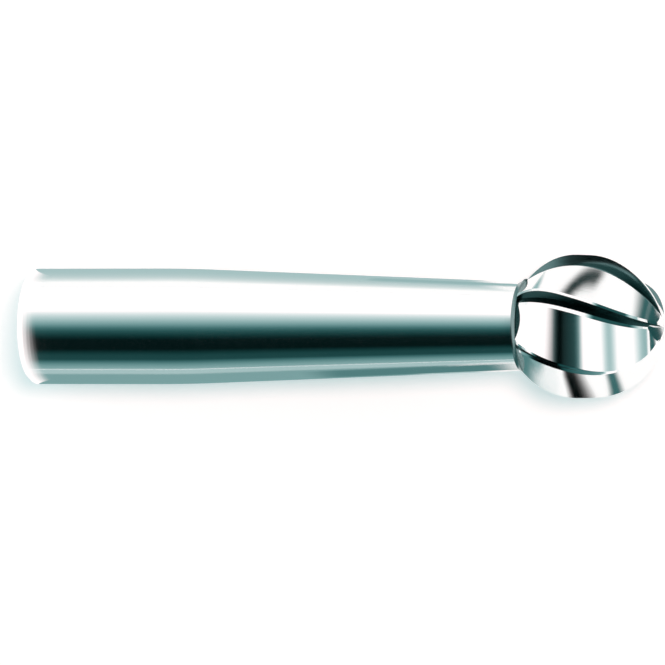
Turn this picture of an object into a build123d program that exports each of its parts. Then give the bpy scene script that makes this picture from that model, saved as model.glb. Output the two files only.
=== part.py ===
from build123d import *
import os
from math import cos, degrees, radians, sin, sqrt, tan

# Round carbide burr: a tapered steel shank with a six-bladed ball of tungsten carbide brazed to it.
#
# The burr lies along +X, with +Z up, at the roll in which two blades share its weight.
# The origin is the centre of the shank's end face, and the tip points to +X.
# Sizes are in millimetres and angles in degrees.

# ---------------------------------------------------------------- driving dimensions

# Shank
shank_dia = 2.35  # gripped by the collet
shank_length = 3.30  # parallel part, up to the start of the taper
shank_end_chamfer = 0.12
neck_length = 7.00  # taper, from the parallel part to the braze
neck_dia = 1.80  # thin end of the taper
taper_blend_radius = 25.0  # soft corner where the taper starts

# Braze
braze_thickness = 0.10
braze_sink = 0.012  # how far the bead draws in between neck and head

# Head
ball_dia = 2.90
belt_length = 0.32  # short parallel belt between the two halves of the ball
head_back_dia = 1.92  # flat back of the head, where it is brazed

# Blades
blade_count = 6
first_blade_turn = -28.9  # roll of the first blade at the belly, from +Z about +X
helix_angle = 17.0  # right-hand, at the belly
flute_depth = 0.28  # ball to gullet, at the belly
heel_drop = 0.16  # ball to heel, at the belly
flute_opening = 9.7  # angle from each cutting edge to the heel in front of it
heel_chamfer = 0.045  # broken corner along each heel, at the belly
margin_width = 0.055  # narrow strip of the ball left along each cutting edge

# Where gullet, heel and land reach the ball: angles from the axis, seen from the ball's centre.
# The gullet and the heel would reach it behind its flat back, so the flutes are open at the neck.
gullet_tip_angle = 8.0  # towards the tip
heel_tip_angle = 12.0
land_tip_angle = 15.0
gullet_neck_angle = 35.0  # towards the neck
heel_neck_angle = 37.0
land_neck_angle = 47.0

# Gashes that carry two opposite blades over the centre of the tip
gash_web = 0.03  # strip left standing between the two gashes
gash_centre_depth = 0.02
gash_slope = 18.0  # fall of the gash's floor, away from the centre
gash_overrun = 0.03  # how far a gash runs past the centre
gash_length = 1.30
gash_angle = 82.0  # between the gash's two walls
gash_height = 0.90  # tall enough to clear the ball

# Allowances for stock that the ball's own surface cuts away
ball_cover = 0.12
land_overrun = 0.05
end_overrun = 0.03

# ---------------------------------------------------------------- worked-out sizes

shank_radius = shank_dia / 2
neck_radius = neck_dia / 2
ball_radius = ball_dia / 2
head_back_radius = head_back_dia / 2

neck_end_x = shank_length + neck_length
head_back_x = neck_end_x + braze_thickness
rear_centre_x = head_back_x + sqrt(ball_radius**2 - head_back_radius**2)
belly_x = rear_centre_x + belt_length / 2
front_centre_x = rear_centre_x + belt_length
tip_x = front_centre_x + ball_radius
blade_pitch = 360 / blade_count

os.makedirs("parts", exist_ok=True)

# ---------------------------------------------------------------- shank

with BuildPart() as shank:
    with BuildSketch() as shank_profile:
        with BuildLine():
            Polyline(
                (0, 0),
                (0, shank_radius - shank_end_chamfer),
                (shank_end_chamfer, shank_radius),
                (shank_length, shank_radius),
                (neck_end_x, neck_radius),
                (neck_end_x, 0),
                close=True,
            )
        make_face()
        taper_corner = shank_profile.vertices().sort_by_distance((shank_length, shank_radius))[0]
        fillet(taper_corner, radius=taper_blend_radius)
    revolve(axis=Axis.X)

shank.part.label = "shank"
export_step(shank.part, "parts/shank.step")

# ---------------------------------------------------------------- braze layer

bead_middle_radius = (neck_radius + head_back_radius) / 2 - braze_sink

with BuildPart() as braze_layer:
    with BuildSketch():
        with BuildLine():
            Polyline(
                (neck_end_x, neck_radius),
                (neck_end_x, 0),
                (head_back_x, 0),
                (head_back_x, head_back_radius),
            )
            ThreePointArc(
                (head_back_x, head_back_radius),
                (neck_end_x + braze_thickness / 2, bead_middle_radius),
                (neck_end_x, neck_radius),
            )
        make_face()
    revolve(axis=Axis.X)

braze_layer.part.label = "braze_layer"
export_step(braze_layer.part, "parts/braze_layer.step")

# ---------------------------------------------------------------- cutting head


def ball_radius_at(x):
    """Radius of the ball's outline at x, and nothing past its tip."""
    past_belt = max(abs(x - belly_x) - belt_length / 2, 0)
    return sqrt(max(ball_radius**2 - past_belt**2, 0))


def ground_radius_at(x, belly_depth, end_angle):
    """Distance from the axis of a ground line: an arc, level at the belly, up to end_angle."""
    belly_radius = ball_radius - belly_depth
    end_radius = ball_radius * sin(radians(end_angle))
    end_reach = belt_length / 2 + ball_radius * cos(radians(end_angle))
    arc_centre = (end_reach**2 + end_radius**2 - belly_radius**2) / (2 * (end_radius - belly_radius))
    return arc_centre + sqrt((belly_radius - arc_centre) ** 2 - (x - belly_x) ** 2)


def edge_turn_at(x):
    """Roll of the first cutting edge at x, from +Z about +X."""
    return first_blade_turn + degrees((x - belly_x) * tan(radians(helix_angle)) / ball_radius)


def around_axis(radius, turn):
    """Point in the section plane at this distance from the axis and this roll."""
    return Vector(-radius * sin(radians(turn)), radius * cos(radians(turn)))


def beyond(start, end, distance):
    """Point on the line from start through end, this far past the end, or short of it if negative."""
    return end + (end - start).normalized() * distance


def blade_section(x):
    """Corners of the fluted section at x. What stands outside the ball is cut away by it."""
    towards_tip = x > belly_x
    gullet_end = gullet_tip_angle if towards_tip else gullet_neck_angle
    heel_end = heel_tip_angle if towards_tip else heel_neck_angle
    land_end = land_tip_angle if towards_tip else land_neck_angle
    gullet_radius = ground_radius_at(x, flute_depth, gullet_end)
    heel_radius = ground_radius_at(x, heel_drop, heel_end)
    land_radius = max(ball_radius_at(x), ground_radius_at(x, 0, land_end))
    chamfer = heel_chamfer * land_radius / ball_radius
    margin_angle = degrees(margin_width / land_radius)

    corners = []
    for blade in range(blade_count):
        turn = edge_turn_at(x) + blade * blade_pitch
        edge_above = around_axis(land_radius + ball_cover, turn)
        gullet = around_axis(gullet_radius, turn)
        heel = around_axis(heel_radius, turn + flute_opening)
        land_back = around_axis(land_radius, turn + blade_pitch - margin_angle)
        land_above = beyond(heel, land_back, land_overrun)
        heel_start = beyond(gullet, heel, -chamfer)
        land_start = beyond(land_back, heel, -chamfer)
        corners += [edge_above, gullet, heel_start, land_start, land_above]
    return corners


# Sections stand at even angles round the ball, from just behind the head to just past the tip.
tip_angles = range(10, 100, 10)
neck_angles = range(90, 40, -10)
section_stations = [tip_x + end_overrun]
section_stations += [front_centre_x + ball_radius * cos(radians(angle)) for angle in tip_angles]
section_stations += [rear_centre_x - ball_radius * cos(radians(angle)) for angle in neck_angles]
section_stations += [head_back_x - end_overrun]

with BuildPart() as cutting_head:
    for station in sorted(section_stations):
        with BuildSketch(Plane.YZ.offset(station)):
            with BuildLine():
                Polyline(*blade_section(station), close=True)
            make_face()
    loft()

    with BuildSketch():
        with BuildLine():
            Polyline((tip_x, 0), (head_back_x, 0), (head_back_x, head_back_radius))
            RadiusArc(
                (head_back_x, head_back_radius),
                (rear_centre_x, ball_radius),
                ball_radius,
            )
            Line((rear_centre_x, ball_radius), (front_centre_x, ball_radius))
            RadiusArc((front_centre_x, ball_radius), (tip_x, 0), ball_radius)
        make_face()
    revolve(axis=Axis.X, mode=Mode.INTERSECT)

    for half_turn in (0, 180):
        ridge_turn = radians(edge_turn_at(tip_x) + half_turn)
        ridge = Vector(0, -sin(ridge_turn), cos(ridge_turn))
        rake_side = Vector(0, -cos(ridge_turn), -sin(ridge_turn))
        floor_fall = radians(gash_slope)
        floor_line = ridge * cos(floor_fall) - Vector(1, 0, 0) * sin(floor_fall)
        gash_start = Vector(tip_x - gash_centre_depth, 0, 0) + rake_side * (gash_web / 2)
        gash_start -= floor_line * gash_overrun
        with BuildSketch(Plane(gash_start, x_dir=rake_side, z_dir=floor_line)):
            with BuildLine():
                Polyline(
                    (0, 0),
                    (0, gash_height),
                    (gash_height * tan(radians(gash_angle)), gash_height),
                    close=True,
                )
            make_face()
        extrude(amount=gash_length, mode=Mode.SUBTRACT)

cutting_head.part.label = "cutting_head"
export_step(cutting_head.part, "parts/cutting_head.step")
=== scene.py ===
# %% [markdown]
# # A round carbide burr, part by part
# A burr of this kind is a small cutter for a dental or a jeweller's handpiece. It has three
# parts: a steel shank, a ball of tungsten carbide, and the thin layer of silver solder that holds
# the ball on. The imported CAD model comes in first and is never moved: it says where everything
# is. Each of its three nodes is then replaced by a finer piece in the same place.

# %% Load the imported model
from math import atan2, cos, degrees, hypot, pi, radians, sin, sqrt, tan

import bmesh
import bpy
from mathutils import Matrix, Vector


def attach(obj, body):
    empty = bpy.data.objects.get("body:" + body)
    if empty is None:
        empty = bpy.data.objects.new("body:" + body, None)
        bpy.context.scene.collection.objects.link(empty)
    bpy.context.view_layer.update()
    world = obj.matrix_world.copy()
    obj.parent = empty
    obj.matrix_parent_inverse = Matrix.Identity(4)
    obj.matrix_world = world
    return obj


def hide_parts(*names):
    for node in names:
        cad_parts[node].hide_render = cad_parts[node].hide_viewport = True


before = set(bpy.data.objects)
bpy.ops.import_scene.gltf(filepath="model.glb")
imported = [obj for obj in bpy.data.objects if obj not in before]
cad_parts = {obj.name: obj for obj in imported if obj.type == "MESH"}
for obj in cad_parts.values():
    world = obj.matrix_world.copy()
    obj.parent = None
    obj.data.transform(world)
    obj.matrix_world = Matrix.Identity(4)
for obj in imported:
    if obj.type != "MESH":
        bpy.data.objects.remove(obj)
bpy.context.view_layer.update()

# %% [markdown]
# ## Working sizes
# The pieces are shaped in millimetres, because the numbers are easy to read that way, and each
# finished mesh is scaled to metres once. The sizes are those of the CAD model: the burr lies
# along +X, the centre of the shank's end face is the origin, and +Z is up.

# %% Sizes of the burr, in millimetres
millimetre = 0.001
shank_radius = 1.175
shank_length = 3.30
shank_end_chamfer = 0.12
neck_end_x = 10.30
neck_radius = 0.90
taper_blend_radius = 25.0
head_back_x = 10.40
head_back_radius = 0.96
bead_middle_radius = 0.918
ball_radius = 1.45
belt_length = 0.32
rear_centre_x = head_back_x + sqrt(ball_radius**2 - head_back_radius**2)
belly_x = rear_centre_x + belt_length / 2
front_centre_x = rear_centre_x + belt_length
tip_x = front_centre_x + ball_radius
print(f"The belly of the ball is at x {belly_x:.3f} and its tip at {tip_x:.3f} mm")

# %% [markdown]
# ## Turned parts
# The shank and the solder are round about the X axis, as they come off a lathe. An outline of a
# few points, spun once round the axis, makes such a part: the spin merges its last step with its
# first, doubles along the axis are merged too, and the normals are then worked out again.

# %% A helper that turns an outline about the X axis
turning_steps = 160
merge_distance = 0.0001


def spin_about_x(part, steps):
    """Spins all that is drawn so far once round the X axis, and closes its seam and its poles."""
    bmesh.ops.spin(part, geom=part.verts[:] + part.edges[:], cent=(0, 0, 0), axis=(1, 0, 0),
                   angle=2 * pi, steps=steps, use_merge=True)
    bmesh.ops.remove_doubles(part, verts=part.verts, dist=merge_distance)
    bmesh.ops.recalc_face_normals(part, faces=part.faces)


def turn_outline(points):
    """A closed solid, turned on the X axis from points that give x and the radius."""
    part = bmesh.new()
    corners = [part.verts.new((x, radius, 0)) for x, radius in points]
    for pair in zip(corners, corners[1:]):
        part.edges.new(pair)
    spin_about_x(part, turning_steps)
    return part


print("Turned parts have", turning_steps, "steps round the axis")

# %% A helper that bevels one ring of a turned part
ring_tolerance = 0.0005


def ring_at(part, x, radius):
    """The edges of the ring that lies at x, at this distance from the axis."""
    def on_ring(vert):
        off_radius = abs(hypot(vert.co.y, vert.co.z) - radius)
        return max(abs(vert.co.x - x), off_radius) < ring_tolerance
    return [edge for edge in part.edges if all(on_ring(vert) for vert in edge.verts)]


def bevel_ring(part, x, radius, width, segments):
    """Bevels one ring: a chamfer with one segment, a rounding with more."""
    bmesh.ops.bevel(part, geom=ring_at(part, x, radius), offset=width, offset_type="OFFSET",
                    affect="EDGES", segments=segments, profile=0.5, material=-1)


print("A ring is found to within", ring_tolerance, "mm")

# %% [markdown]
# ## From a bmesh to a piece of the burr
# Every piece is finished in the same way. Its faces are shaded smooth up to a sharp-edge angle,
# with normals that follow the large faces, so the bevels beside them don't bend a reflection. Its
# mesh is scaled to metres, its finish is given when it is made, it is hung on the burr's one body,
# and the CAD node that it stands for is hidden.


# %% Helpers that finish a piece
def make_object(part, name, *materials):
    """Turns a bmesh into an object, still in millimetres."""
    mesh = bpy.data.meshes.new(name)
    part.to_mesh(mesh)
    part.free()
    for material in materials:
        mesh.materials.append(material)
    made = bpy.data.objects.new(name, mesh)
    bpy.context.scene.collection.objects.link(made)
    return made


def apply_modifiers(piece):
    """Makes the result of the modifiers the piece's own mesh."""
    depsgraph = bpy.context.evaluated_depsgraph_get()
    result = bpy.data.meshes.new_from_object(piece.evaluated_get(depsgraph))
    piece.modifiers.clear()
    piece.data = result
    result.name = piece.name


def shade(piece, sharp_angle):
    """Shades smooth, except across edges sharper than this angle. Large faces stay even."""
    piece.data.shade_smooth()
    piece.data.set_sharp_from_angle(angle=radians(sharp_angle))
    even = piece.modifiers.new("even_shading", "WEIGHTED_NORMAL")
    even.keep_sharp = True
    apply_modifiers(piece)


def stand_for(piece, node):
    """Scales the mesh to metres and puts the piece in the place of a CAD node."""
    piece.data.transform(Matrix.Scale(millimetre, 4))
    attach(piece, "root")
    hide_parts(node)
    print(piece.name, "stands for", node, "with", len(piece.data.polygons), "faces")


print("The helpers scale a finished mesh by", millimetre)

# %% [markdown]
# ## Helpers for node trees
# Materials and the surroundings are built from nodes. A few small helpers keep that readable: one
# adds a node with its settings and inputs, and the others add a step of arithmetic, a soft step
# from 0 to 1, or a mix.


# %% Helpers for node trees
def add_node(tree, kind, settings=None, inputs=None):
    """Adds a node. An input is either a value or another node's output, which is then linked."""
    made = tree.nodes.new(kind)
    for name, value in (settings or {}).items():
        setattr(made, name, value)
    for name, value in (inputs or {}).items():
        if isinstance(value, bpy.types.NodeSocket):
            tree.links.new(value, made.inputs[name])
        else:
            made.inputs[name].default_value = value
    return made


def calculate(tree, operation, *values):
    """Adds a Math node and gives its result."""
    inputs = dict(enumerate(values))
    return add_node(tree, "ShaderNodeMath", {"operation": operation}, inputs).outputs[0]


def fade(tree, value, start, end):
    """0 before start and 1 past end, with a smooth rise between. It falls if end comes first."""
    smooth = {"interpolation_type": "SMOOTHSTEP"}
    limits = {"Value": value, "From Min": start, "From Max": end, "To Min": 0.0, "To Max": 1.0}
    return add_node(tree, "ShaderNodeMapRange", smooth, limits).outputs["Result"]


def mix_values(tree, share, first, second):
    """The first value where share is 0, the second where it is 1."""
    inputs = {0: share, 2: first, 3: second}
    return add_node(tree, "ShaderNodeMix", {"data_type": "FLOAT"}, inputs).outputs[0]


def mix_colours(tree, share, first, second):
    """The first colour where share is 0, the second where it is 1."""
    inputs = {0: share, 6: first, 7: second}
    return add_node(tree, "ShaderNodeMix", {"data_type": "RGBA"}, inputs).outputs[2]


print("Node helpers are ready")

# %% [markdown]
# ## Ground and polished metal
# Steel and carbide are bright, and their look is nearly all reflection. What tells them apart is
# how they were finished. The shank was ground between centres, so fine lines run round it. The
# lands of the ball were ground along the blades. The walls of the flutes are rougher, and their
# dark teal colour is painted shade that stands in for the shade deep in each flute. The solder
# flowed and was hardly polished, so it is dull, and its dark teal is partly painted shade of the
# joint. One node group makes the lines of them all from stretched noise: it gives a slightly bent
# normal, and a value that shifts the polish a little.

# %% The grinding lines, shared by the metals
line_height = 0.000002  # in metres, as Blender reads it
grinding_lines = bpy.data.node_groups.new("grinding_lines", "ShaderNodeTree")
for socket in ("Lines along X", "Lines around X", "Depth"):
    grinding_lines.interface.new_socket(socket, in_out="INPUT", socket_type="NodeSocketFloat")
for socket, kind in (("Normal", "NodeSocketVector"), ("Polish", "NodeSocketFloat")):
    grinding_lines.interface.new_socket(socket, in_out="OUTPUT", socket_type=kind)
group_in = grinding_lines.nodes.new("NodeGroupInput")
group_out = grinding_lines.nodes.new("NodeGroupOutput")
place = add_node(grinding_lines, "ShaderNodeTexCoord").outputs["Object"]
stretch = add_node(grinding_lines, "ShaderNodeCombineXYZ", None, {
    "X": group_in.outputs["Lines along X"],
    "Y": group_in.outputs["Lines around X"],
    "Z": group_in.outputs["Lines around X"],
}).outputs[0]
stretched = add_node(grinding_lines, "ShaderNodeVectorMath", {"operation": "MULTIPLY"}, {
    0: place, 1: stretch,
}).outputs[0]
lines = add_node(grinding_lines, "ShaderNodeTexNoise", None, {
    "Vector": stretched, "Scale": 1.0, "Detail": 3.0, "Roughness": 0.6,
}).outputs["Fac"]
bent = add_node(grinding_lines, "ShaderNodeBump", None, {
    "Strength": group_in.outputs["Depth"], "Distance": line_height, "Height": lines,
}).outputs["Normal"]
grinding_lines.links.new(bent, group_out.inputs["Normal"])
grinding_lines.links.new(lines, group_out.inputs["Polish"])
print("Node group:", grinding_lines.name)

# %% A helper that makes a bright metal
polish_spread = 0.5


def bright_metal(name, colour, roughness, lines_along, lines_around, depth):
    """A polished metal with grinding lines: its polish varies a little from line to line."""
    material = bpy.data.materials.new(name)
    material.use_nodes = True
    tree = material.node_tree
    surface = tree.nodes["Principled BSDF"]
    ground = add_node(tree, "ShaderNodeGroup", {"node_tree": grinding_lines}, {
        "Lines along X": lines_along, "Lines around X": lines_around, "Depth": depth,
    })
    uneven = calculate(tree, "MULTIPLY_ADD", ground.outputs["Polish"],
                       roughness * polish_spread, roughness * (1 - polish_spread / 2))
    tree.links.new(uneven, surface.inputs["Roughness"])
    tree.links.new(ground.outputs["Normal"], surface.inputs["Normal"])
    surface.inputs["Base Color"].default_value = (*colour, 1)
    surface.inputs["Metallic"].default_value = 1.0
    print("Metal:", name)
    return material


# %% Steel, carbide of lands and flutes, and solder: flutes and solder get painted shade
ground_steel = bright_metal("ground_steel", colour=(0.94, 0.945, 0.945), roughness=0.09,
                            lines_along=14000, lines_around=350, depth=0.25)
ground_carbide = bright_metal("ground_carbide", colour=(0.93, 0.945, 0.945), roughness=0.075,
                              lines_along=900, lines_around=12000, depth=0.12)
# The flutes' dark teal is painted shade, standing in for the shade deep in each flute.
flute_carbide_painted_shade = bright_metal("flute_carbide_painted_shade", colour=(0.12, 0.22, 0.22), roughness=0.22,
                             lines_along=900, lines_around=12000, depth=0.2)
# The solder's dark teal is partly its dull flowed finish and partly painted shade of the joint.
solder_and_painted_shade = bright_metal("solder_and_painted_shade", colour=(0.2, 0.3, 0.3), roughness=0.22,
                             lines_along=9000, lines_around=6000, depth=0.5)

# %% [markdown]
# ## The shank
# The shank is a plain steel rod of 2.35 mm that a collet grips, and it tapers to a slimmer neck.
# It could be a cylinder with a cone joined on, but a seam would break the reflections that run
# along it, so it is one spun outline of only five points. The end rim is then chamfered and its
# two corners eased, and the ring where the taper starts is rounded, so the reflections turn there
# without a hard line.

# %% Turn the shank and ease its rims
rim_easing = 0.03
end_face_easing = 0.02
shank_part = turn_outline([
    (0, 0),
    (0, shank_radius),
    (shank_length, shank_radius),
    (neck_end_x, neck_radius),
    (neck_end_x, 0),
])
taper = atan2(shank_radius - neck_radius, neck_end_x - shank_length)
blend_reach = taper_blend_radius * tan(taper / 2)
end_face_radius = shank_radius - shank_end_chamfer
bevel_ring(shank_part, shank_length, shank_radius, width=blend_reach, segments=12)
bevel_ring(shank_part, 0, shank_radius, width=shank_end_chamfer, segments=1)
bevel_ring(shank_part, shank_end_chamfer, shank_radius, width=rim_easing, segments=4)
bevel_ring(shank_part, 0, end_face_radius, width=end_face_easing, segments=3)
shank = make_object(shank_part, "steel_shank", ground_steel)
shade(shank, sharp_angle=25)
stand_for(shank, "shank")

# %% [markdown]
# ## The solder
# Between the neck and the ball a thin bead of silver solder shows as a dull dark line. Its dark
# teal colour is partly the dull flowed solder and partly painted shade of the joint. A band of
# colour on the neck would be quicker, but the bead is a little hollow and mirrors other things
# than the neck does, so it is a piece of its own. Its outline draws in between the two rims, as
# solder does when
# it flows: the ring half way along is smaller and is rounded with a bevel.

# %% Turn the solder bead
bead_middle_x = (neck_end_x + head_back_x) / 2
bead_rounding = 0.035
solder_part = turn_outline([
    (neck_end_x, 0),
    (neck_end_x, neck_radius),
    (bead_middle_x, bead_middle_radius),
    (head_back_x, head_back_radius),
    (head_back_x, 0),
])
bevel_ring(solder_part, bead_middle_x, bead_middle_radius, width=bead_rounding, segments=5)
solder = make_object(solder_part, "solder_bead", solder_and_painted_shade)
shade(solder, sharp_angle=40)
stand_for(solder, "braze_layer")

# %% [markdown]
# ## The fluted ball
# The ball is the part that a maker of burrs is proudest of. Six blades wind round it to the right.
# Each has a cutting edge, a deep narrow flute in front of it, a heel, a broad land that rises to
# the next edge, and along that edge a narrow strip of the ball itself, the margin.
# It could be made by cutting six grooves, but the grooves change depth and width along the ball.
# It is easier to draw the fluted section at many places along X, bridge each section to the next,
# and let the smooth ball trim what stands outside it, just as the last grinding pass does.

# %% Sizes of the blades, in millimetres and degrees
blade_count = 6
blade_pitch = 360 / blade_count
first_blade_turn = -28.9
helix_angle = 17.0
flute_depth = 0.28
heel_drop = 0.16
flute_opening = 9.7
heel_chamfer = 0.045
margin_width = 0.055
tip_run_out = {"gullet": 8.0, "heel": 12.0, "land": 15.0}
neck_run_out = {"gullet": 35.0, "heel": 37.0, "land": 47.0}
print(blade_count, "blades with a helix of", helix_angle, "degrees")


# %% Where the ground surfaces lie at any place along the ball
def ball_radius_at(x):
    """Radius of the smooth ball's outline at x, and nothing past its tip."""
    past_belt = max(abs(x - belly_x) - belt_length / 2, 0)
    return sqrt(max(ball_radius**2 - past_belt**2, 0))


def ground_radius_at(x, line, belly_depth):
    """Distance from the axis of a ground line: an arc that is level at the belly."""
    run_out = radians((tip_run_out if x > belly_x else neck_run_out)[line])
    belly_radius = ball_radius - belly_depth
    end_radius = ball_radius * sin(run_out)
    end_reach = belt_length / 2 + ball_radius * cos(run_out)
    centre = (end_reach**2 + end_radius**2 - belly_radius**2) / (2 * (end_radius - belly_radius))
    return centre + sqrt((belly_radius - centre) ** 2 - (x - belly_x) ** 2)


def around_axis(x, radius, turn):
    """The point at x, at this distance from the axis and this turn from +Z."""
    return Vector((x, -radius * sin(radians(turn)), radius * cos(radians(turn))))


def edge_turn_at(x):
    """Turn of the first cutting edge at x: the helix is a steady twist."""
    return first_blade_turn + degrees((x - belly_x) * tan(radians(helix_angle)) / ball_radius)


print(f"At the tip the blades have turned by {edge_turn_at(tip_x) - first_blade_turn:.1f} degrees")

# %% One fluted section
corners_per_blade = 5
flute_walls = (0, 1)
ball_cover = 0.12
land_overrun = 0.05


def blade_corners(x, turn):
    """The five corners of one blade's section at x, from its cutting edge to the next one."""
    gullet_radius = ground_radius_at(x, "gullet", flute_depth)
    heel_radius = ground_radius_at(x, "heel", heel_drop)
    land_radius = max(ball_radius_at(x), ground_radius_at(x, "land", 0))
    margin = degrees(margin_width / land_radius)
    chamfer = heel_chamfer * land_radius / ball_radius
    edge_above = around_axis(x, land_radius + ball_cover, turn)
    gullet = around_axis(x, gullet_radius, turn)
    heel = around_axis(x, heel_radius, turn + flute_opening)
    land_back = around_axis(x, land_radius, turn + blade_pitch - margin)
    heel_start = heel + (gullet - heel).normalized() * chamfer
    land_start = heel + (land_back - heel).normalized() * chamfer
    land_above = land_back + (land_back - heel).normalized() * land_overrun
    return [edge_above, gullet, heel_start, land_start, land_above]


def section_loop(part, x):
    """Draws the whole section at x and gives its edges."""
    corners = []
    for blade in range(blade_count):
        turn = edge_turn_at(x) + blade * blade_pitch
        corners += [part.verts.new(corner) for corner in blade_corners(x, turn)]
    return [part.edges.new(pair) for pair in zip(corners, corners[1:] + corners[:1])]


def paint_flute_shade(loop):
    """Gives the two walls of each flute, the first faces of each blade, the second material.
    Its dark colour is painted shade: it stands in for the shade deep in the flutes.
    """
    for number, edge in enumerate(loop):
        if number % corners_per_blade in flute_walls:
            for face in edge.link_faces:
                face.material_index = 1


print("A section has", blade_count * corners_per_blade, "corners")

# %% Bridge the sections into one fluted blank
section_count = 131
end_overrun = 0.03
first_x = head_back_x - end_overrun
last_x = tip_x + end_overrun
blank_part = bmesh.new()
section_loops = []
for step in range(section_count):
    section_x = first_x + (last_x - first_x) * step / (section_count - 1)
    section_loops.append(section_loop(blank_part, section_x))
for nearer, farther in zip(section_loops, section_loops[1:]):
    bmesh.ops.bridge_loops(blank_part, edges=nearer + farther)
# The flute walls get the second material, whose dark colour is painted shade.
for loop in section_loops:
    paint_flute_shade(loop)
for end_loop in (section_loops[0], section_loops[-1]):
    bmesh.ops.edgeloop_fill(blank_part, edges=end_loop)
bmesh.ops.recalc_face_normals(blank_part, faces=blank_part.faces)
head = make_object(blank_part, "carbide_head", ground_carbide, flute_carbide_painted_shade)
print("The fluted blank has", len(head.data.polygons), "faces")

# %% [markdown]
# ### The smooth ball that trims the blades
# A ready-made sphere would be quicker, but it has neither the short belt nor the flat back. So
# the outline starts as one point at the tip. Spun a quarter turn about the front centre, it draws
# the front arc; it then moves back by the belt's length and is spun on to the flat back. Spinning
# that outline about the X axis gives the ball.

# %% Spin the smooth ball
front_arc_steps = 72
rear_arc_steps = 40
ball_steps = 192


def verts_of(geometry):
    """The vertices among the geometry that an operator gives back."""
    return [item for item in geometry if isinstance(item, bmesh.types.BMVert)]


ball_part = bmesh.new()
tip = ball_part.verts.new((tip_x, 0, 0))
front_arc = bmesh.ops.spin(ball_part, geom=[tip], cent=(front_centre_x, 0, 0), axis=(0, 0, 1),
                           angle=pi / 2, steps=front_arc_steps)
belt = bmesh.ops.extrude_vert_indiv(ball_part, verts=verts_of(front_arc["geom_last"]))
bmesh.ops.translate(ball_part, verts=belt["verts"], vec=(-belt_length, 0, 0))
rear_angle = atan2(rear_centre_x - head_back_x, head_back_radius)
rear_arc = bmesh.ops.spin(ball_part, geom=belt["verts"], cent=(rear_centre_x, 0, 0),
                          axis=(0, 0, 1), angle=rear_angle, steps=rear_arc_steps)
back_centre = bmesh.ops.extrude_vert_indiv(ball_part, verts=verts_of(rear_arc["geom_last"]))
bmesh.ops.translate(ball_part, verts=back_centre["verts"], vec=(0, -head_back_radius, 0))
spin_about_x(ball_part, ball_steps)
ball = make_object(ball_part, "smooth_ball", ground_carbide)
print("The smooth ball has", len(ball.data.polygons), "faces")

# %% [markdown]
# ### The two gashes at the tip
# The flutes run out before they reach the centre of the tip. Two opposite blades are carried over
# the centre by gashes: a wedge-shaped wheel dips in beside each of them. Each cutter is a triangle
# drawn across the blade and extruded along the floor of its gash.

# %% Sizes of the gashes, in millimetres and degrees
gash_web = 0.03
gash_centre_depth = 0.02
gash_slope = 18.0
gash_overrun = 0.03
gash_length = 1.30
gash_angle = 82.0
gash_height = 0.90
print("The gashes leave a web of", gash_web, "mm between them")


# %% Extrude the gash cutters
def gash_cutter(name, half_turn):
    """A wedge that cuts beside the blade at the tip, on its rake side."""
    ridge_turn = edge_turn_at(tip_x) + half_turn
    ridge = around_axis(0, 1, ridge_turn)
    rake_side = around_axis(0, 1, ridge_turn + 90)
    fall = radians(gash_slope)
    floor_line = ridge * cos(fall) - Vector((1, 0, 0)) * sin(fall)
    upright = floor_line.cross(rake_side)
    start = Vector((tip_x - gash_centre_depth, 0, 0)) + rake_side * (gash_web / 2)
    start -= floor_line * gash_overrun
    wall = upright * gash_height
    slant = wall + rake_side * gash_height * tan(radians(gash_angle))
    wedge = bmesh.new()
    corners = [wedge.verts.new(start + way) for way in (Vector(), wall, slant)]
    end = wedge.faces.new(corners)
    grown = bmesh.ops.extrude_face_region(wedge, geom=[end])
    bmesh.ops.translate(wedge, verts=verts_of(grown["geom"]), vec=floor_line * gash_length)
    bmesh.ops.recalc_face_normals(wedge, faces=wedge.faces)
    print(name, "has", len(wedge.faces), "faces")
    return make_object(wedge, name, ground_carbide)


gashes = [gash_cutter("first_gash", 0), gash_cutter("second_gash", 180)]

# %% [markdown]
# ### Trim and cut
# Three Boolean modifiers do the grinder's work: the ball keeps only what lies inside it, and the
# two wedges take their gashes away. All these meshes are closed, so the manifold solver can be
# used, which is quick and leaves clean edges. It works while the sizes are still millimetres,
# because in metres they would be close to what the solver takes for nothing.

# %% Trim the blades and cut the gashes
for operation, cutter in [("INTERSECT", ball)] + [("DIFFERENCE", gash) for gash in gashes]:
    cut = head.modifiers.new(cutter.name, "BOOLEAN")
    cut.operation = operation
    cut.object = cutter
    cut.solver = "MANIFOLD"
apply_modifiers(head)
for cutter in [ball] + gashes:
    bpy.data.objects.remove(cutter)
print("The trimmed head has", len(head.data.polygons), "faces")

# %% [markdown]
# ### Clean edges and even shading
# Cutting leaves doubled points and faces with no area, and these would shade unevenly, so they
# are merged first. The lands meet the margins at a low angle, so a few degrees already count as
# sharp here, and each land mirrors its surroundings as one smooth surface up to its crisp edges.

# %% Clean the head's mesh and shade it
clean_part = bmesh.new()
clean_part.from_mesh(head.data)
bmesh.ops.remove_doubles(clean_part, verts=clean_part.verts, dist=merge_distance)
bmesh.ops.dissolve_degenerate(clean_part, edges=clean_part.edges, dist=merge_distance)
clean_part.to_mesh(head.data)
clean_part.free()
shade(head, sharp_angle=9)
stand_for(head, "cutting_head")

# %% [markdown]
# ## The camera
# A short lens close by would spread the near end of the burr, so a long lens looks at it from far
# away, as a parallel view does. The camera looks down on the burr, leans a little towards its
# tip, and is rolled a few degrees about the burr's own axis. Two things frame the picture: the
# size of a pixel, and the pixel at which the ball's belly stands.

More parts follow.
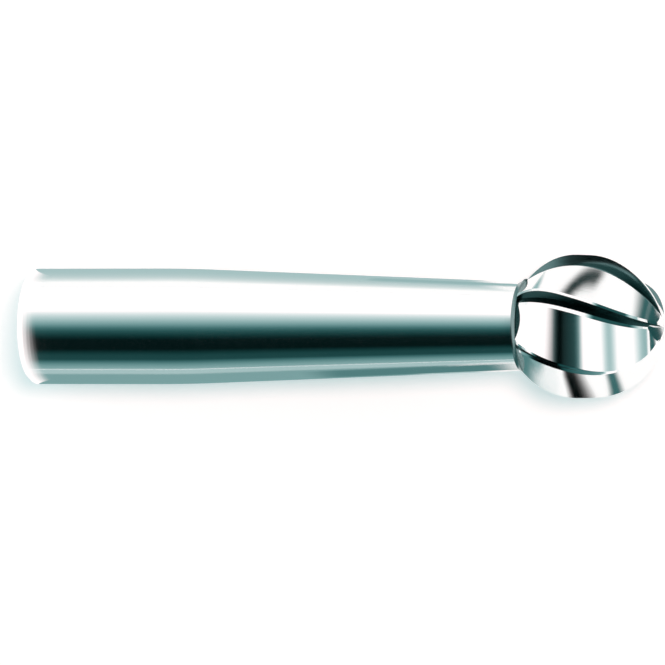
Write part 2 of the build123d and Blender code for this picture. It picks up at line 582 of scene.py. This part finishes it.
# %% Place the camera
lean_to_tip = radians(15)
roll = radians(5.3)
camera_distance = 300.0
picture_width = 665
pixel = 0.02017
belly_pixel = (586.0, 326.3)
lean_sin = sin(lean_to_tip)
lean_cos = cos(lean_to_tip)
towards_camera = Vector((lean_sin, lean_cos * sin(roll), lean_cos * cos(roll)))
picture_right = Vector((lean_cos, -lean_sin * sin(roll), -lean_sin * cos(roll)))
picture_up = towards_camera.cross(picture_right)
target = Vector((belly_x, 0, 0))
target += picture_right * (picture_width / 2 - belly_pixel[0]) * pixel
target -= picture_up * (picture_width / 2 - belly_pixel[1]) * pixel

camera_data = bpy.data.cameras.new("camera")
camera_data.lens = camera_data.sensor_width * camera_distance / (picture_width * pixel)
camera_data.clip_start = 0.01  # in metres, like the next one
camera_data.clip_end = 2.0
camera = bpy.data.objects.new("camera", camera_data)
camera_place = (target + towards_camera * camera_distance) * millimetre
camera_turn = Matrix((picture_right, picture_up, towards_camera)).transposed().to_4x4()
camera.matrix_world = Matrix.Translation(camera_place) @ camera_turn
bpy.context.scene.collection.objects.link(camera)
bpy.context.scene.camera = camera
print(f"Lens {camera_data.lens:.0f} mm at {camera_distance:.0f} mm from the burr")

# %% [markdown]
# ## The floor
# The burr lies on its ball and on the rim of the shank's end, so the white floor leans by a
# fraction of a degree. A stronger lamp would also make it white, but it would wash out the shadow
# and the burr. So the floor is white by its colour and by a little glow that only the camera and
# reflections see, and the soft shadow stays.

# %% Lay the floor under the burr
floor_half_width = 0.6  # in metres
floor_low_x = 11.65  # where the head touches the floor
floor_low_z = -1.3063
floor_rim_x = shank_end_chamfer  # where the shank touches it
floor_rim_z = -shank_radius
floor_lean = atan2(floor_rim_z - floor_low_z, floor_low_x - floor_rim_x)
floor_frame = Matrix.Translation((floor_low_x * millimetre, 0, floor_low_z * millimetre))
floor_frame = floor_frame @ Matrix.Rotation(floor_lean, 4, "Y")

floor_part = bmesh.new()
bmesh.ops.create_grid(floor_part, x_segments=8, y_segments=8, size=floor_half_width)
floor = make_object(floor_part, "floor")
floor.matrix_world = floor_frame
print(f"The floor leans by {degrees(floor_lean):.2f} degrees")

# %% Paint the floor white
floor_glow = 0.30
board_dark = (0.895, 0.895, 0.895, 1)
board_pale = (0.905, 0.905, 0.905, 1)
floor_material = bpy.data.materials.new("white_board")
floor_material.use_nodes = True
board = floor_material.node_tree
board_surface = board.nodes["Principled BSDF"]
board_surface.inputs["Roughness"].default_value = 0.9
board_surface.inputs["Specular IOR Level"].default_value = 0.0
board_surface.inputs["Emission Color"].default_value = (1, 1, 1, 1)
board_light = add_node(board, "ShaderNodeLightPath").outputs
seen = calculate(board, "MAXIMUM", board_light["Is Camera Ray"], board_light["Is Glossy Ray"])
seen = calculate(board, "MAXIMUM", seen, board_light["Is Transmission Ray"])
glow = calculate(board, "MULTIPLY", seen, floor_glow)
board.links.new(glow, board_surface.inputs["Emission Strength"])
grain = add_node(board, "ShaderNodeTexNoise", None, {"Scale": 900.0, "Detail": 2.0}).outputs["Fac"]
board_colour = mix_colours(board, grain, board_dark, board_pale)
board.links.new(board_colour, board_surface.inputs["Base Color"])
floor.data.materials.append(floor_material)
print("The floor's glow is", floor_glow)

# %% [markdown]
# ## The lamp
# One round lamp, high above the camera's side, throws the soft shadow down and to the left. It
# isn't seen by reflections, because polished metal would mirror it as a small hot disc. Its light
# is warm and the light all round is cool: together they are white, and the shadow is a little
# teal. A lamp of P watts gives a white board at a distance d the brightness P / (pi * d)**2, so
# its power is worked out from the brightness that it should give.

# %% Hang the lamp, with its size and distance in metres
lamp_colour = (0.55, 0.33, 0.31)
lamp_distance = 0.30
lamp_size = 0.09
lamp_shift = tan(radians(7))
lamp_target = Vector((6, 0, 0)) * millimetre
lamp_direction = towards_camera + picture_right * lamp_shift + picture_up * lamp_shift
lamp_direction.normalize()
lamp_turn = lamp_direction.to_track_quat("Z", "Y").to_matrix().to_4x4()
lamp_data = bpy.data.lights.new("lamp", "AREA")
lamp_data.shape = "DISK"
lamp_data.size = lamp_size
lamp_data.color = [channel / max(lamp_colour) for channel in lamp_colour]
lamp_data.energy = pi * pi * lamp_distance**2 * max(lamp_colour)
lamp = bpy.data.objects.new("lamp", lamp_data)
lamp.matrix_world = Matrix.Translation(lamp_target + lamp_direction * lamp_distance) @ lamp_turn
lamp.visible_glossy = False
lamp.visible_camera = False
bpy.context.scene.collection.objects.link(lamp)
print(f"Lamp of {lamp_data.energy:.2f} W")

# %% [markdown]
# ## What the metal mirrors
# Polished metal shows its surroundings, so the surroundings are part of the picture. They are a
# white tent with cloths hung in it. The cloths could be real sheets far away, but they are easier
# to place when they are painted into the world by direction: "along" is the angle from the burr's
# axis, and "around" the angle about it from the camera's side. Only reflections see them. The
# camera sees plain white, and matt surfaces get an even pale light.

# %% Measure directions about the burr
world = bpy.data.worlds.new("light_tent")
world.use_nodes = True
bpy.context.scene.world = world
tent = world.node_tree
radian = 180 / pi  # in degrees
direction = add_node(tent, "ShaderNodeTexCoord").outputs["Generated"]
way = add_node(tent, "ShaderNodeSeparateXYZ", None, {0: direction}).outputs
along = calculate(tent, "ARCCOSINE", way["X"])
along = calculate(tent, "MULTIPLY", along, radian)
around = calculate(tent, "ARCTAN2", way["Y"], way["Z"])
around = calculate(tent, "MULTIPLY", around, radian)
around = calculate(tent, "SUBTRACT", around, degrees(roll))  # from the camera's side


def band(value, start, end, softness):
    """1 where the value is between start and end, with soft sides. All are in degrees."""
    rise = fade(tent, value, start - softness / 2, start + softness / 2)
    fall = fade(tent, value, end + softness / 2, end - softness / 2)
    return calculate(tent, "MULTIPLY", rise, fall)


def cloth(along_band, around_band, darkness=1.0):
    """The share of light that a cloth takes. A band is its start, its end and its softness."""
    cover = calculate(tent, "MULTIPLY", band(along, *along_band), band(around, *around_band))
    return calculate(tent, "MULTIPLY", cover, darkness)


print("Directions are measured along and around the burr")

# %% [markdown]
# ### The long cloth
# The shank mirrors one narrow part of the tent, which a long cloth fills. The cloth is nearly
# black on the near side of the burr and fades to white over its top, so the shank gets its dark
# band and the soft rise to white above it. A colour ramp holds that fade: each of its stops is an
# angle around the burr and a brightness.

# %% Shade the long cloth
tent_white = 1.12
cloth_stops = [
    (-96, 0.42), (-90, 0.38), (-82, 0.28), (-76, 0.17), (-70, 0.06), (-60, 0.055), (-52, 0.025),
    (-47, 0.006), (-27, 0.006), (-21, 0.022), (-15, 0.05), (-9, 0.09), (-3, 0.17), (3, 0.31),
    (9, 0.44), (14, 0.56), (20, 0.70), (26, 0.88), (32, tent_white),
]
ramp_start = -110
ramp_end = 40
ramp_place = add_node(tent, "ShaderNodeMapRange", None, {
    "Value": around, "From Min": ramp_start, "From Max": ramp_end, "To Min": 0.0, "To Max": 1.0,
}).outputs["Result"]
cloth_profile = add_node(tent, "ShaderNodeValToRGB", None, {"Fac": ramp_place})
cloth_ramp = cloth_profile.color_ramp
while len(cloth_ramp.elements) < len(cloth_stops):
    cloth_ramp.elements.new(0.5)
for stop, (angle, grey) in zip(cloth_ramp.elements, cloth_stops):
    stop.position = (angle - ramp_start) / (ramp_end - ramp_start)
    stop.color = (grey, grey, grey, 1)
print("The long cloth has", len(cloth_stops), "stops")

# %% [markdown]
# ### The other cloths
# A polished ball mirrors nearly the whole tent. A black cloth past the shank's end and a grey one
# past the tip darken the two ends of the lands, and a softer grey one hangs beside the tip, on
# the near side. The last one hangs on the far side, for the lands that are seen from behind.

# %% Hang the cloths
upper_part = band(along, start=93, end=114, softness=9)
lower_part = cloth(along_band=(75, 150, 6), around_band=(-110, -33, 6))
long_cloth = calculate(tent, "MAXIMUM", upper_part, lower_part)
back_cloth = cloth(along_band=(111, 150, 5), around_band=(-75, 2, 8))
tip_cloth = calculate(tent, "MULTIPLY", band(along, start=-30, end=18, softness=20), 0.6)
grey_cloth = cloth(along_band=(49, 62, 13), around_band=(-33, -8, 5), darkness=0.5)
far_cloth = cloth(along_band=(22, 78, 14), around_band=(8, 72, 24), darkness=0.93)
brightness = mix_values(tent, long_cloth, tent_white, cloth_profile.outputs["Color"])
for hung in (back_cloth, tip_cloth, grey_cloth, far_cloth):
    let_through = calculate(tent, "SUBTRACT", 1.0, hung)
    brightness = calculate(tent, "MULTIPLY", brightness, let_through)
print("The tent's white has a brightness of", tent_white)

# %% Show the tent to reflections only
red_falloff = 1.6
even_light = (0.38, 0.56, 0.57, 1)
camera_white = (1, 1, 1, 1)
red = calculate(tent, "POWER", brightness, red_falloff)
mirrored = add_node(tent, "ShaderNodeCombineColor", None, {
    0: red, 1: brightness, 2: brightness,
}).outputs[0]
path = add_node(tent, "ShaderNodeLightPath").outputs
mirrors = calculate(tent, "MAXIMUM", path["Is Glossy Ray"], path["Is Transmission Ray"])
surroundings = mix_colours(tent, mirrors, even_light, mirrored)
surroundings = mix_colours(tent, path["Is Camera Ray"], surroundings, camera_white)
background = tent.nodes["Background"]
tent.links.new(surroundings, background.inputs["Color"])
background.inputs["Strength"].default_value = 1.0
print("Matt surfaces get an even light of", even_light[:3])

# %% [markdown]
# ## Cards beside the burr
# What is painted into the world is endlessly far away, so it can't stand close to one blade. The
# curved lands and the underside of the shank mirror the floor beside the burr, and real cards lie
# there: dark ones draw the bands on the lands, and grey ones the stripes low on the shank.
# Others stand in the air: one over the ball, two low beside the neck, and a white one at the
# shank's end, where the dark band has to fade. They are seen by reflections only, their edges are
# soft, and their greys are slightly teal, as the tent's are.

# %% A helper that makes a soft-edged card
card_edge = 0.5  # from a card's centre to its edge, before it is scaled to its size


def tint(grey):
    """A slightly teal grey: red falls off faster than green and blue."""
    return (grey**red_falloff, grey, grey, 1)


def soft_card(name, place, size, softness, brightness):
    """A card in its own X and Y. Softness is the share of its width and of its height that fades
    at each edge, or one share if the card is round."""
    part = bmesh.new()
    bmesh.ops.create_grid(part, x_segments=1, y_segments=1, size=card_edge)
    material = bpy.data.materials.new(name)
    material.use_nodes = True
    tree = material.node_tree
    tree.nodes.remove(tree.nodes["Principled BSDF"])
    spot = add_node(tree, "ShaderNodeTexCoord").outputs["Object"]
    if len(softness) == 1:
        reach = add_node(tree, "ShaderNodeVectorMath", {"operation": "LENGTH"}, {0: spot})
        cover = fade(tree, reach.outputs["Value"], card_edge, card_edge - softness[0])
    else:
        spot = add_node(tree, "ShaderNodeSeparateXYZ", None, {0: spot}).outputs
        off_x = calculate(tree, "ABSOLUTE", spot["X"])
        off_y = calculate(tree, "ABSOLUTE", spot["Y"])
        cover_x = fade(tree, off_x, card_edge, card_edge - softness[0])
        cover_y = fade(tree, off_y, card_edge, card_edge - softness[1])
        cover = calculate(tree, "MULTIPLY", cover_x, cover_y)
    lit = add_node(tree, "ShaderNodeEmission", None, {"Color": tint(brightness), "Strength": 1.0})
    clear = add_node(tree, "ShaderNodeBsdfTransparent")
    mixed = add_node(tree, "ShaderNodeMixShader", None, {
        0: cover, 1: clear.outputs[0], 2: lit.outputs[0],
    })
    tree.links.new(mixed.outputs[0], tree.nodes["Material Output"].inputs["Surface"])
    width, height = size
    scale = Matrix.Diagonal((width * millimetre, height * millimetre, 1, 1))
    card = make_object(part, name, material)
    card.matrix_world = place @ scale
    card.visible_camera = False
    card.visible_diffuse = False
    card.visible_shadow = False
    print(name, "is", width, "by", height, "mm")


# %% A helper that lays a card on the floor
card_step = 0.01
cards_laid = []


def lay_card(name, centre, size, softness, brightness, turn=0):
    """Lays a card at a centre in the burr's X and Y, just above the cards laid before it."""
    cards_laid.append(name)
    spot = Vector((centre[0] - floor_low_x, centre[1], card_step * len(cards_laid)))
    lay = floor_frame @ Matrix.Translation(spot * millimetre)
    soft_card(name, lay @ Matrix.Rotation(radians(turn), 4, "Z"), size, softness, brightness)


print("Each card lies", card_step, "mm above the last")

# %% Lay the cards under the ball
lay_card("card_far_land", centre=(11.4, 5.4), size=(4.4, 1.8), turn=35,
         softness=(0.3, 0.45), brightness=0.02)
lay_card("card_near_land", centre=(10.55, -4.65), size=(1.25, 3.2), turn=-19,
         softness=(0.42, 0.1), brightness=0.002)
lay_card("card_near_land_grey", centre=(12.45, -3.25), size=(1.0, 2.0), turn=30,
         softness=(0.42, 0.2), brightness=0.15)
lay_card("card_tip", centre=(16.5, 0.55), size=(3.9, 2.9),
         softness=(0.06, 0.2), brightness=0.07)
lay_card("card_tip_side", centre=(17.3, 2.2), size=(5.4, 4.2),
         softness=(0.05, 0.5), brightness=0.12)
lay_card("card_past_tip", centre=(21.3, -2.0), size=(11.6, 4.4),
         softness=(0.2, 0.35), brightness=0.12)
lay_card("card_far_past_tip", centre=(160.0, -50.0), size=(280.0, 160.0),
         softness=(0.3, 0.3), brightness=0.45)

# %% Lay the cards beside the shank
lay_card("card_shank_far", centre=(2.3, 0.6), size=(14.6, 16.0),
         softness=(0.05, 0.45), brightness=0.56)
lay_card("card_shank_wide", centre=(-8.0, -38.0), size=(36.0, 66.0),
         softness=(0.1, 0.05), brightness=0.56)
lay_card("card_shank_near", centre=(1.8, -3.75), size=(12.6, 10.5),
         softness=(0.05, 0.26), brightness=0.37)

# %% Stand the other cards
card_turns = {
    "X": Matrix(((0, 0, 1), (1, 0, 0), (0, 1, 0))).to_4x4(),
    "Y": Matrix(((1, 0, 0), (0, 0, -1), (0, 1, 0))).to_4x4(),
    "Z": Matrix.Identity(4),
}


def stand_card(name, centre, size, facing, softness, brightness):
    """Puts a card at a centre in millimetres. It faces along X, Y or Z, and the first of its
    sizes is measured along Y, X or X."""
    stand = Matrix.Translation(Vector(centre) * millimetre) @ card_turns[facing]
    soft_card(name, stand, size, softness, brightness)


stand_card("card_over_ball", centre=(10.88, -0.3, 3.0), size=(2.5, 3.6), facing="Z",
           softness=(0.5, 0.1), brightness=0.002)
stand_card("card_neck", centre=(7.95, -1.7, -0.35), size=(4.9, 1.5), facing="Y",
           softness=(0.2, 0.15), brightness=0.22)
stand_card("card_neck_far", centre=(8.6, 1.7, -0.75), size=(3.6, 1.2), facing="Y",
           softness=(0.1, 0.4), brightness=0.48)
stand_card("card_end", centre=(-0.2, 0.0, 0.0), size=(6.6, 6.6), facing="X",
           softness=(0.2,), brightness=tent_white)

# %% [markdown]
# ## Finish
# Colours are shown as they are written, with the Standard view.

# %% Show colours as they are written, and finish
bpy.context.scene.view_settings.view_transform = "Standard"
